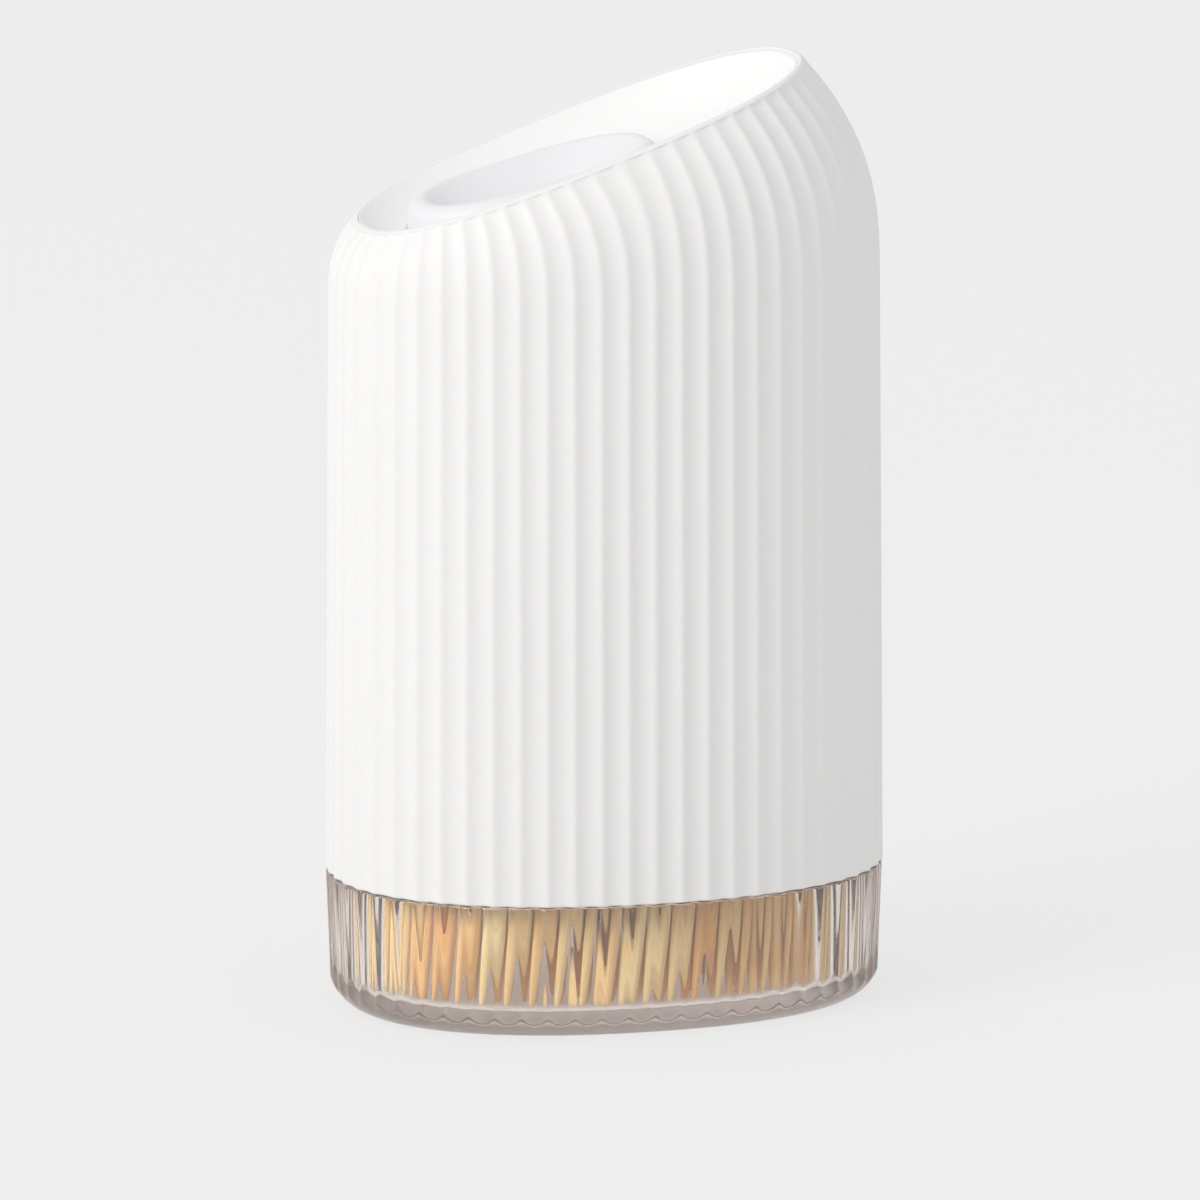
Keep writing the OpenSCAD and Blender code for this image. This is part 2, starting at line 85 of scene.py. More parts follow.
# how far out a point lies, where 1 is on the oval
def ovalRadius(halfLength, halfWidth, squareness, x, y):
    out = (np.abs(x) / halfLength) ** squareness + (np.abs(y) / halfWidth) ** squareness
    return out ** (1 / squareness)


# turns at shares of the way round from the middle of the right end, and the whole way's
# length, both measured along chords of one degree
def evenTurns(halfLength, halfWidth, squareness, shares):
    turn = np.radians(np.arange(361))
    corner = ovalPoints(halfLength, halfWidth, squareness, turn)
    way = np.concatenate([[0], np.cumsum(np.linalg.norm(np.diff(corner, axis=0), axis=1))])
    return np.interp(shares % 1 * way[-1], way, turn), way[-1]


frontShare = 0.75  # where the middle of the front lies on the way round


def standObject(name, data):
    made = bpy.data.objects.new(name, data)
    bpy.context.scene.collection.objects.link(made)
    return made


# Meshes from rows of points: a row runs counter-clockwise seen from above, and each row
# lies further along the surface, which starts up the outside

def putMesh(name, points, quads, triangles, material):
    sizes = np.concatenate([np.full(len(quads), 4), np.full(len(triangles), 3)])
    corners = np.concatenate([quads.ravel(), triangles.ravel()])
    mesh = bpy.data.meshes.new(name)
    mesh.vertices.add(len(points))
    mesh.vertices.foreach_set("co", points.astype(np.float32).ravel())
    mesh.loops.add(len(corners))
    mesh.loops.foreach_set("vertex_index", corners.astype(np.int32))
    mesh.polygons.add(len(sizes))
    mesh.polygons.foreach_set("loop_start", (np.cumsum(sizes) - sizes).astype(np.int32))
    mesh.update(calc_edges=True)
    mesh.validate()
    mesh.polygons.foreach_set("use_smooth", np.ones(len(sizes), bool))
    mesh.materials.append(material)
    piece = standObject(name, mesh)
    return piece


# quads between neighbouring rows; closed joins the last row to the first, and otherwise
# each end is closed by a fan round its middle
def surfacePiece(name, rows, material, closed=True):
    rowCount, columnCount = rows.shape[:2]
    index = np.arange(rowCount * columnCount).reshape(rowCount, columnCount)
    after = np.roll(index, -1, axis=1)
    if closed:
        upper, upperAfter = np.roll(index, -1, axis=0), np.roll(after, -1, axis=0)
    else:
        upper, upperAfter = index[1:], after[1:]
        index, after = index[:-1], after[:-1]
    quads = np.stack([index, after, upperAfter, upper], axis=-1).reshape(-1, 4)
    points = rows.reshape(-1, 3)
    triangles = np.empty((0, 3), int)
    if not closed:
        first, last = len(points), len(points) + 1
        points = np.concatenate([points, [rows[0].mean(axis=0), rows[-1].mean(axis=0)]])
        startFan = np.stack([after[0], index[0], np.full(columnCount, first)], axis=-1)
        endFan = np.stack([upper[-1], upperAfter[-1], np.full(columnCount, last)], axis=-1)
        triangles = np.concatenate([startFan, endFan])
    return putMesh(name, points, quads, triangles, material)


def raised(flat, height):
    return np.concatenate([flat, np.broadcast_to(height, flat.shape[:-1])[..., None]], axis=-1)


def column(values):
    return np.asarray(values, float)[:, None]


# a round edge as shares in and shares up: from its foot to its crest at 90 degrees, or past it
def roundEdge(steps, endTurn=90):
    turn = np.radians(np.linspace(0, endTurn, steps))
    return 1 - np.cos(turn), np.sin(turn)


# The body's outline and its flutes

body = {
    "halfLength": 26.8 * mm,
    "halfWidth": 19.4 * mm,
    "squareness": 2.2,
    "height": 90 * mm,
    "seam": 12.8 * mm,
    "flutes": 58,
    "pointsPerFlute": 12,
}
bodyOval = body["halfLength"], body["halfWidth"], body["squareness"]
bodyColumns = body["flutes"] * body["pointsPerFlute"]
bodyTurns = evenTurns(*bodyOval, frontShare + np.arange(bodyColumns) / bodyColumns)[0]
bodyOutline = ovalPoints(*bodyOval, bodyTurns)
bodyNormals = ovalNormals(*bodyOval, bodyTurns)


# depth across a flute: 4u(1 - u) from ridge to ridge, with the ridge rounded by a parabola
# that meets it at the share given
def fluteProfile(depth, ridgeShare):
    u = np.arange(body["pointsPerFlute"]) / body["pointsPerFlute"]
    near = np.minimum(u, 1 - u)
    ridge = 2 * ridgeShare + 2 * (1 - 2 * ridgeShare) / ridgeShare * near ** 2
    profile = np.where(near < ridgeShare, ridge, 4 * u * (1 - u))
    return depth * np.tile(profile, body["flutes"])


# the outline drawn in along its normals, one row for each height
def bodyRows(heights, insets):
    inset = np.broadcast_to(insets, (len(heights), len(bodyTurns)))[..., None]
    return raised(bodyOutline - inset * bodyNormals, column(heights))


# The mouth is a slanted oval whose points share the body's turns

mouth = {
    "halfLength": 21 * mm,
    "halfWidth": 14.85 * mm,
    "squareness": 2.5,
    "shift": 2.6 * mm,
    "slant": math.radians(20),
    "lipWidth": 0.5 * mm,
    "lipRound": 0.2 * mm,
    "lipSteps": 5,
    "rebateDepth": 2.4 * mm,
    "ledgeWidth": 0.9 * mm,
    "ledgeThickness": 1.2 * mm,
}
mouthHighEnd = mouth["halfLength"] - mouth["shift"]
mouthLevel = body["height"] - mouthHighEnd * math.tan(mouth["slant"])


def mouthPlane(x):
    return mouthLevel + x * math.tan(mouth["slant"])


def mouthOval(insets, turns):
    flat = ovalPoints(mouth["halfLength"] - insets, mouth["halfWidth"] - insets,
                      mouth["squareness"], turns)
    return flat - np.array([mouth["shift"], 0])


def mouthRows(insets, drops):
    flat = mouthOval(column(insets), bodyTurns)
    return raised(flat, mouthPlane(flat[..., 0]) - column(drops))


# The shell's dome: from the shoulder to the mouth it climbs evenly, while its way in goes
# as a power of the climb that is flatter at the low end

shell = {
    "wall": 1.5 * mm,
    "draft": math.radians(0.6),
    "lowShoulder": 65.5 * mm,
    "highShoulder": 69.5 * mm,
    "lowRoundness": 4,
    "highRoundness": 2.5,
    "domeSteps": 34,
    "domeCrowding": 1.3,
    "innerClimb": 0.6,
    "innerSteps": 12,
    "smoothBand": 0.28 * mm,
    "bandSteps": 5,
    "runout": 1 * mm,
    "runoutSteps": 9,
    "footRound": 0.2 * mm,
    "footSteps": 4,
    "fluteDepth": 0.3 * mm,
    "ridgeShare": 0.09,
}


def domeRows(climbs, drops, flutes, wall=0.0):
    rim = mouthOval(0, bodyTurns)
    far = (rim[:, 0] + mouth["shift"] + mouth["halfLength"]) / (2 * mouth["halfLength"])
    shoulder = shell["lowShoulder"] + (shell["highShoulder"] - shell["lowShoulder"]) * far
    roundness = shell["lowRoundness"] + (shell["highRoundness"] - shell["lowRoundness"]) * far
    rise = mouthPlane(rim[:, 0]) - shoulder
    share = column(climbs) * (1 - column(drops) / rise)
    draft = (shoulder - body["seam"]) * math.tan(shell["draft"])
    foot = bodyOutline - draft[:, None] * bodyNormals
    flat = foot + (rim - foot) * (share ** roundness)[..., None]
    inset = np.broadcast_to(flutes, share.shape) + wall
    return raised(flat - inset[..., None] * bodyNormals, shoulder + rise * share - wall * share)


# the dome's rows crowd towards the mouth, and the flutes run out along a quarter of an ellipse
def makeShell(material):
    flutes = fluteProfile(shell["fluteDepth"], shell["ridgeShare"])
    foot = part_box("outer_shell")[0][2]
    edgeIn, edgeUp = roundEdge(shell["footSteps"])
    edgeRows = bodyRows(foot + shell["footRound"] * edgeIn,
                        flutes + shell["footRound"] * (1 - column(edgeUp)))
    domeClimbs = 1 - (1 - np.linspace(0, 1, shell["domeSteps"])) ** shell["domeCrowding"]
    runoutStart = shell["smoothBand"] + shell["runout"]
    dome = domeRows(domeClimbs, np.full(len(domeClimbs), runoutStart), flutes)
    runTurns = np.radians(np.linspace(0, 90, shell["runoutSteps"])[1:])
    runout = domeRows(np.ones(len(runTurns)), runoutStart - shell["runout"] * np.sin(runTurns),
                      flutes * column(np.cos(runTurns)))
    bandDrops = np.linspace(shell["smoothBand"], mouth["lipRound"], shell["bandSteps"])[1:]
    band = domeRows(np.ones(len(bandDrops)), bandDrops, 0)
    lipIn, lipUp = roundEdge(mouth["lipSteps"])
    lipOut = mouthRows(mouth["lipRound"] * lipIn[1:], mouth["lipRound"] * (1 - lipUp[1:]))
    lipInner = mouthRows(mouth["lipWidth"] - mouth["lipRound"] * lipIn[::-1],
                         mouth["lipRound"] * (1 - lipUp[::-1]))
    inner = mouth["lipWidth"] + mouth["ledgeWidth"]
    ledge = mouthRows([mouth["lipWidth"], inner, inner],
                      [mouth["rebateDepth"], mouth["rebateDepth"],
                       mouth["rebateDepth"] + mouth["ledgeThickness"]])
    innerClimbs = np.linspace(shell["innerClimb"], 0, shell["innerSteps"])
    innerDome = domeRows(innerClimbs, np.zeros(len(innerClimbs)), 0, shell["wall"])
    innerFoot = bodyRows([foot + shell["footRound"], foot],
                         column([shell["wall"], shell["wall"] - shell["footRound"]]))
    rows = np.concatenate([edgeRows, dome, runout, band, lipOut, lipInner, ledge, innerDome,
                           innerFoot])
    piece = surfacePiece("outerShell", rows, material)
    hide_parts("outer_shell")
    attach(piece, "shell")
    return piece


# The button and the well it slides in share one oval

button = {
    "halfLength": 11.5 * mm,
    "halfWidth": 9.25 * mm,
    "squareness": 2.6,
    "shift": 7 * mm,
    "slant": math.radians(14.6),
    "drop": 1.2 * mm,
    "edgeRound": 1.1 * mm,
    "edgeEndTurn": 118,
    "edgeSteps": 14,
    "scoopDepth": 2.8 * mm,
    "scoopSteps": 30,
    "outlet": 1.6 * mm,
    "outletDepth": 2.1 * mm,
    "outletRound": 0.25 * mm,
    "outletSteps": 5,
    "skirt": 5.5 * mm,
    "skirtRound": 0.15 * mm,
    "wall": 1.4 * mm,
    "boss": 4 * mm,
    "socket": 2.53 * mm,
    "socketDepth": 3 * mm,
    "columns": 288,
}
buttonShares = frontShare + np.arange(button["columns"]) / button["columns"]
buttonTurns = evenTurns(button["halfLength"], button["halfWidth"], button["squareness"],
                        buttonShares)[0]
buttonCircle = np.stack([np.cos(buttonTurns), np.sin(buttonTurns)], axis=-1)
stemAxis = np.array([-button["shift"], 0])
buttonLevel = mouthPlane(-button["shift"]) - button["drop"]
scoopFloor = buttonLevel - button["scoopDepth"]
socketRoof = scoopFloor - button["outletDepth"]
bossBottom = socketRoof - button["socketDepth"]


def buttonPlane(x):
    return buttonLevel + (x + button["shift"]) * math.tan(button["slant"])


def buttonOval(outsets):
    return ovalPoints(button["halfLength"] + outsets, button["halfWidth"] + outsets,
                      button["squareness"], buttonTurns) + stemAxis


def buttonRows(outsets, drops):
    flat = buttonOval(column(outsets))
    return raised(flat, buttonPlane(flat[..., 0]) - column(drops))


def circleRows(radii, heights):
    return raised(column(radii)[..., None] * buttonCircle + stemAxis, column(heights))


# from the edge to the outlet the scoop goes down as 1 - (1 - share)^2, and its slant fades
# out as the cube of the share
def scoopRows(shares):
    endIn, endUp = roundEdge(2, button["edgeEndTurn"])
    startInset = button["edgeRound"] * endIn[-1]
    startDrop = button["edgeRound"] * (1 - endUp[-1])
    rim = buttonOval(-startInset)
    middle = (button["outlet"] + button["outletRound"]) * buttonCircle + stemAxis
    share = column(shares)
    flat = rim + (middle - rim) * share[..., None]
    depth = startDrop + (button["scoopDepth"] - startDrop) * (1 - (1 - share) ** 2)
    slanted = buttonPlane(flat[..., 0]) - depth
    return raised(flat, slanted + (scoopFloor - slanted) * share ** 3)


# the boss that holds the stem ends at the slanted roof inside the button
def makeButton(material):
    roofDrop = button["scoopDepth"] + button["wall"]
    boss = circleRows([button["socket"], button["socket"], button["boss"], button["boss"]],
                      [socketRoof, bossBottom, bossBottom, bossBottom])
    boss[-1, :, 2] = buttonPlane(boss[-1, :, 0]) - roofDrop
    skirt = buttonRows([-button["wall"], -button["wall"], -button["skirtRound"], 0],
                       [roofDrop, button["skirt"], button["skirt"],
                        button["skirt"] - button["skirtRound"]])
    edgeIn, edgeUp = roundEdge(button["edgeSteps"], button["edgeEndTurn"])
    edge = buttonRows(-button["edgeRound"] * edgeIn, button["edgeRound"] * (1 - edgeUp))
    scoop = scoopRows(np.linspace(0, 1, button["scoopSteps"])[1:])
    holeIn, holeUp = roundEdge(button["outletSteps"])
    outlet = circleRows(button["outlet"] + button["outletRound"] * (1 - holeUp[1:]),
                        scoopFloor - button["outletRound"] * holeIn[1:])
    bore = circleRows([button["outlet"]], [socketRoof])
    rows = np.concatenate([boss, skirt, edge, scoop, outlet, bore])
    piece = surfacePiece("pushButton", rows, material)
    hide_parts("push_button")
    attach(piece, "button")
    return piece


# The dish falls from the lip as depth times (1 - radius^flatness), and runs into the well

dish = {
    "gap": 0.01 * mm,
    "drop": 0.02 * mm,
    "depth": 4.6 * mm,
    "flatness": 4,
    "surfaceSteps": 34,
    "wall": 1.4 * mm,
    "undersideEnd": 0.4,
    "undersideSteps": 12,
    "edgeRound": 0.1 * mm,
    "edgeShare": 0.004,
    "edgeDrop": 0.02 * mm,
    "holeRound": 0.3 * mm,
    "holeSteps": 5,
    "buttonGap": 0.12 * mm,
    "wellWall": 1.18 * mm,
    "wellRound": 0.15 * mm,
    "plateRim": 2 * mm,
}


def dishLevel(flat):
    edge = mouth["lipWidth"] + dish["gap"]
    out = ovalRadius(mouth["halfLength"] - edge, mouth["halfWidth"] - edge, mouth["squareness"],
                     flat[..., 0] + mouth["shift"], flat[..., 1])
    fall = dish["depth"] * (1 - np.minimum(1, out) ** dish["flatness"])
    return mouthPlane(flat[..., 0]) - dish["drop"] - fall


def dishRows(inset, outset, shares, drops):
    rim = mouthOval(inset, buttonTurns)
    hole = buttonOval(outset)
    flat = rim + (hole - rim) * column(shares)[..., None]
    return raised(flat, dishLevel(flat) - column(drops))


def wellRows(outsets, heights):
    return raised(buttonOval(column(outsets)), column(heights))


# the well ends at the guide plate, whose rim goes up into it
def makeDish(material):
    inset = mouth["lipWidth"] + dish["gap"]
    outside = dish["buttonGap"] + dish["wellWall"]
    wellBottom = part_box("guide_plate")[1][2] - dish["plateRim"]
    seatFlat = mouthOval(column([inset + mouth["ledgeWidth"], inset]), buttonTurns)
    seat = raised(seatFlat, mouthPlane(seatFlat[..., 0]) - mouth["rebateDepth"])
    edge = dishRows(inset, 0, [0, dish["edgeShare"]], [dish["edgeRound"], dish["edgeDrop"]])
    shares = np.linspace(0, 1, dish["surfaceSteps"])[1:]
    surface = dishRows(inset, dish["buttonGap"] + dish["holeRound"], shares,
                       np.zeros(len(shares)))
    holeIn, holeUp = roundEdge(dish["holeSteps"])
    holeDrops = dish["holeRound"] * holeIn[1:]
    hole = dishRows(inset, dish["buttonGap"], np.ones(len(holeDrops)), holeDrops)
    hole[..., :2] = buttonOval(column(dish["buttonGap"] + dish["holeRound"] * (1 - holeUp[1:])))
    wellTurn = wellBottom + dish["wellRound"]
    well = wellRows([dish["buttonGap"], dish["buttonGap"], outside, outside],
                    [wellTurn, wellBottom, wellBottom, wellTurn])
    undersideShares = np.linspace(1, dish["undersideEnd"], dish["undersideSteps"])
    underside = dishRows(inset, outside, undersideShares,
                         np.full(len(undersideShares), dish["wall"]))
    rows = np.concatenate([seat[1:], edge, surface, hole, well, underside, seat[:1]])
    piece = surfacePiece("dishInsert", rows, material)
    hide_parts("dish_insert")
    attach(piece, "shell")
    return piece


# The clear cup: rounded underside, fluted wall, collar, and a smooth inside with a thick floor

cup = {
    "draft": math.radians(2),
    "bottomRound": 3.2 * mm,
    "bottomSteps": 20,
    "discMiddle": 0.04,
    "discEdge": 0.98,
    "discSteps": 10,
    "collarInset": 1.75 * mm,
    "collarWall": 1 * mm,
    "collarHeight": 4.5 * mm,
    "edgeRound": 0.2 * mm,
    "edgeSteps": 5,
    "wall": 2.4 * mm,
    "wallSteps": 6,
    "floor": 2.4 * mm,
    "floorRound": 1 * mm,
    "floorSteps": 8,
    "fluteDepth": 0.45 * mm,
    "ridgeShare": 0.13,
}
cupInside = cup["wall"] + body["seam"] * math.tan(cup["draft"])


def cupDraft(heights):
    return (body["seam"] - column(heights)) * math.tan(cup["draft"])


# level rows between the middle and a ring, for the cup's underside and floor
def discRows(ring, fromShare, toShare):
    middle = np.array([0, 0, ring[0, 2]])
    shares = np.linspace(fromShare, toShare, cup["discSteps"])
    return middle + (ring - middle) * column(shares)[..., None]


def makeCup(material):
    flutes = fluteProfile(cup["fluteDepth"], cup["ridgeShare"])
    bottomIn, bottomUp = roundEdge(cup["bottomSteps"])
    heights = cup["bottomRound"] * bottomIn
    rounding = column(cup["bottomRound"] * (1 - bottomUp))
    bottomEdge = bodyRows(heights, cupDraft(heights) + np.maximum(rounding, flutes))
    underside = discRows(bottomEdge[0], cup["discMiddle"], cup["discEdge"])
    edgeIn, edgeUp = roundEdge(cup["edgeSteps"])
    edgeFoot = body["seam"] - cup["edgeRound"]
    straight = np.linspace(cup["bottomRound"], edgeFoot, cup["wallSteps"])[1:]
    wallHeights = np.concatenate([straight, body["seam"] - cup["edgeRound"] * (1 - edgeUp[1:])])
    wallRounds = np.concatenate([np.zeros(len(straight)), cup["edgeRound"] * edgeIn[1:]])
    wall = bodyRows(wallHeights, cupDraft(wallHeights) + flutes + column(wallRounds))
    small = cup["edgeRound"]
    collarTop = body["seam"] + cup["collarHeight"]
    outer, inner = cup["collarInset"], cup["collarInset"] + cup["collarWall"]
    collar = bodyRows(
        [body["seam"], body["seam"] + small, collarTop - small, collarTop, collarTop,
         collarTop - small],
        column([outer - small, outer, outer, outer + small, inner - small, inner]))
    floorIn, floorUp = roundEdge(cup["floorSteps"])
    floorRound = bodyRows(cup["floor"] + cup["floorRound"] * (1 - floorUp),
                          column(cupInside + cup["floorRound"] * floorIn))
    floor = discRows(floorRound[-1], cup["discEdge"], cup["discMiddle"])
    rows = np.concatenate([underside, bottomEdge, wall, collar, floorRound, floor])
    piece = surfacePiece("clearCup", rows, material, closed=False)
    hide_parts("base_cup")
    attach(piece, "root")
    return piece


# Toothpicks stand in twisted rings along the wall: each leans along its ring by the same
# share of the ring's way round

picks = {
    "length": 65 * mm,
    "radius": 0.9 * mm,
    "taper": 6 * mm,
    "tipRadius": 0.3 * mm,
    "gap": 0.2 * mm,
    "lean": math.radians(10),
    "spacing": 2.2 * mm,
    "ringStep": 2 * mm,
    "rings": 4,
    "sides": 12,
    "taperShares": (0, 0.03, 0.14, 0.33, 0.62, 1),
    "taperFullness": 0.55,
    "tipEndShare": 0.4,
    "seed": 7,
    "waySteps": 261,
    # each group's tones are random within its range, but the inner toothpicks' range, and a little
    # the rear ones', reaches further towards the dark colour as painted shade where the rings lie
    # behind one another
    "tonesAndShade": {"frontPicks": (0.0, 0.8), "rearPicks": (0.0, 0.9), "innerPicks": (0.5, 1.1),
              "readyPick": (0.2, 0.4)},
}
footLevel = cup["floor"] + picks["gap"]


def ringOval(ring):
    inset = cupInside + picks["radius"] + picks["gap"] + ring * picks["ringStep"]
    return body["halfLength"] - inset, body["halfWidth"] - inset, body["squareness"]


# feet and tops of a ring's toothpicks; every other ring starts half a step on
def ringPlaces(ring):
    oval = ringOval(ring)
    firstWay = evenTurns(*ringOval(0), np.zeros(1))[1]
    twist = picks["length"] * math.sin(picks["lean"]) / firstWay
    count = math.floor(evenTurns(*oval, np.zeros(1))[1] / picks["spacing"])
    shares = frontShare + (np.arange(count) + ring % 2 / 2) / count
    feet = ovalPoints(*oval, evenTurns(*oval, shares)[0])
    tops = ovalPoints(*oval, evenTurns(*oval, shares + twist)[0])
    return feet, tops


# a toothpick stays if it keeps clear of the upright one, of the catcher's way and of the well
def clearPlaces(feet, tops):
    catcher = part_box("catcher_cone")
    coneBottom, pressedBottom = catcher[0][2], catcher[0][2] - buttonTravel
    coneRadius = (catcher[1][0] - catcher[0][0]) / 2
    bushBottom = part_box("guide_plate")[0][2]
    heights = np.linspace(footLevel, footLevel + picks["length"], picks["waySteps"])
    along = ((heights - footLevel) / picks["length"])[None, :, None]
    offset = feet[:, None] + (tops - feet)[:, None] * along - stemAxis
    distance = np.linalg.norm(offset, axis=-1)
    room = dish["buttonGap"] + dish["wellWall"] + picks["radius"] + 2 * picks["gap"]
    wellRadius = ovalRadius(button["halfLength"] + room, button["halfWidth"] + room,
                            button["squareness"], offset[..., 0], offset[..., 1])
    low, high, top = heights < coneBottom, heights > pressedBottom, heights > bushBottom
    return ((distance[:, low].min(axis=1) > 2 * picks["radius"] + picks["gap"])
            & (distance[:, high].min(axis=1) > coneRadius + picks["radius"] + 2 * picks["gap"])
            & (wellRadius[:, top].min(axis=1) > 1))


# one toothpick is turned from its profile, whose ends widen as a power of the way along the
# taper, and copies of it are stood along the axes given
def standPicks(name, node, feet, tops, material):
    lean = tops - feet
    axes = raised(lean, np.sqrt(picks["length"] ** 2 - (lean ** 2).sum(axis=-1)))
    axes = axes / picks["length"]
    sideways = np.cross(axes, [0, 1, 0])
    sideways /= np.linalg.norm(sideways, axis=-1, keepdims=True)
    across = np.cross(axes, sideways)
    taper = np.array(picks["taperShares"]) * picks["taper"]
    alongs = np.concatenate([taper, [picks["length"] / 2], picks["length"] - taper[::-1]])
    fromEnd = np.minimum(alongs, picks["length"] - alongs)
    bulge = np.clip(fromEnd / picks["taper"], 0, 1) ** picks["taperFullness"]
    radii = picks["tipRadius"] + (picks["radius"] - picks["tipRadius"]) * bulge
    radii[[0, -1]] = picks["tipRadius"] * picks["tipEndShare"]
    turn = np.arange(picks["sides"]) / picks["sides"] * fullTurn
    ring = (np.cos(turn)[:, None] * sideways[:, None, None]
            + np.sin(turn)[:, None] * across[:, None, None])
    points = (raised(feet, footLevel)[:, None, None]
              + axes[:, None, None] * alongs[:, None, None] + ring * radii[:, None, None])
    count, rowCount, sideCount = points.shape[:3]
    index = np.arange(count * rowCount * sideCount).reshape(count, rowCount, sideCount)
    after = np.roll(index, -1, axis=2)
    quads = np.stack([index[:, :-1], after[:, :-1], after[:, 1:], index[:, 1:]], axis=-1)
    quads = quads.reshape(-1, 4)
    foot, tip = index[:, 0], index[:, -1]
    fan = np.arange(1, sideCount - 1)
    hub = np.zeros_like(fan)
    triangles = np.concatenate([
        np.stack([foot[:, hub], foot[:, fan + 1], foot[:, fan]], axis=-1),
        np.stack([tip[:, hub], tip[:, fan], tip[:, fan + 1]], axis=-1)]).reshape(-1, 3)
    piece = putMesh(name, points.reshape(-1, 3), quads, triangles, material)
    addFibreFacts(piece, count, alongs, turn)
    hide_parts(node)
    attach(piece, "root")
    return piece


# each point keeps its toothpick's tone, which holds the inner ones' painted shade too, and its
# place along and round it
def addFibreFacts(piece, count, alongs, turn):
    random = np.random.default_rng(picks["seed"] + count)
    shape = (count, len(alongs), len(turn))
    tonesAndShade = random.uniform(*picks["tonesAndShade"][piece.name], count)
    facts = {
        "tone": np.broadcast_to(tonesAndShade[:, None, None], shape),
        "along": np.broadcast_to(alongs[:, None] / mm, shape),
        "around": np.broadcast_to(np.sin(turn / 2), shape),
    }
    for factName, values in facts.items():
        attribute = piece.data.attributes.new(factName, "FLOAT", "POINT")
        attribute.data.foreach_set("value", values.astype(np.float32).ravel())


def makePicks(material):
    feet, tops = ringPlaces(0)
    keep = clearPlaces(feet, tops)
    front = feet[:, 1] < picks["gap"]
    standPicks("frontPicks", "front_toothpicks", feet[keep & front], tops[keep & front], material)
    standPicks("rearPicks", "rear_toothpicks", feet[keep & ~front], tops[keep & ~front], material)
    inner = [ringPlaces(ring) for ring in range(1, picks["rings"])]
    feet = np.concatenate([place[0] for place in inner])
    tops = np.concatenate([place[1] for place in inner])
    keep = clearPlaces(feet, tops)
    standPicks("innerPicks", "inner_toothpicks", feet[keep], tops[keep], material)
    upright = stemAxis[None]
    standPicks("readyPick", "ready_toothpick", upright, upright, material)


# The spring is a wire whose middle winds round the stem's axis

spring = {
    "radius": 3.35 * mm,
    "wireRadius": 0.35 * mm,
    "turns": 7,
    "endGap": 0.05 * mm,
    "stepsPerTurn": 40,
    "sides": 14,
}


def makeSpring(material):
    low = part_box("return_spring")[0][2] + spring["wireRadius"]
    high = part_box("return_spring")[1][2] - spring["wireRadius"]
    share = np.linspace(1, 0, spring["turns"] * spring["stepsPerTurn"] + 1)[:, None]
    turn = share * spring["turns"] * fullTurn
    side = np.arange(spring["sides"]) / spring["sides"] * fullTurn
    reach = spring["radius"] + spring["wireRadius"] * np.cos(side)
    rows = np.stack([reach * np.cos(turn) + stemAxis[0], reach * np.sin(turn) + stemAxis[1],
                     low + (high - low) * share + spring["wireRadius"] * np.sin(side)], axis=-1)
    piece = surfacePiece("returnSpring", rows, material, closed=False)
    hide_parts("return_spring")
    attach(piece, "shell")
    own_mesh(piece)
    return piece


# Materials. The moulded surface's grain is shared by everything but the wood

def newGroup(name, inputs, outputs):
    group = bpy.data.node_groups.new(name, "ShaderNodeTree")
    for socketName, kind, value in inputs:
        socket = group.interface.new_socket(socketName, in_out="INPUT", socket_type=kind)
        socket.default_value = value
    for socketName, kind in outputs:
        group.interface.new_socket(socketName, in_out="OUTPUT", socket_type=kind)
    return group, group.nodes.new("NodeGroupInput"), group.nodes.new("NodeGroupOutput")


# a value goes to the node's own setting of that name, or else to its input
def addNode(tree, kind, values=None, links=None):
    node = tree.nodes.new(kind)
    for key, value in (values or {}).items():
        if hasattr(node, key):
            setattr(node, key, value)
        else:
            node.inputs[key].default_value = value
    for key, source in (links or {}).items():
        tree.links.new(source, node.inputs[key])
    return node


def setInputs(node, values):
    for key, value in values.items():
        node.inputs[key].default_value = value


# value times factor, plus offset
def scaled(tree, value, factor, offset=0.0):
    node = addNode(tree, "ShaderNodeMath", {"operation": "MULTIPLY_ADD"}, {0: value})
    setInputs(node, {1: factor, 2: offset})
    return node.outputs[0]


def newMaterial(name):
    material = bpy.data.materials.new(name)
    material.use_nodes = True
    return material, material.node_tree, material.node_tree.nodes["Principled BSDF"]


moulding = {
    "grainDetail": 3.0,
    "grainRoughness": 0.6,
    "grainHeight": 0.02 * mm,
    "driftScale": 55.0,
    "driftDetail": 2.0,
}


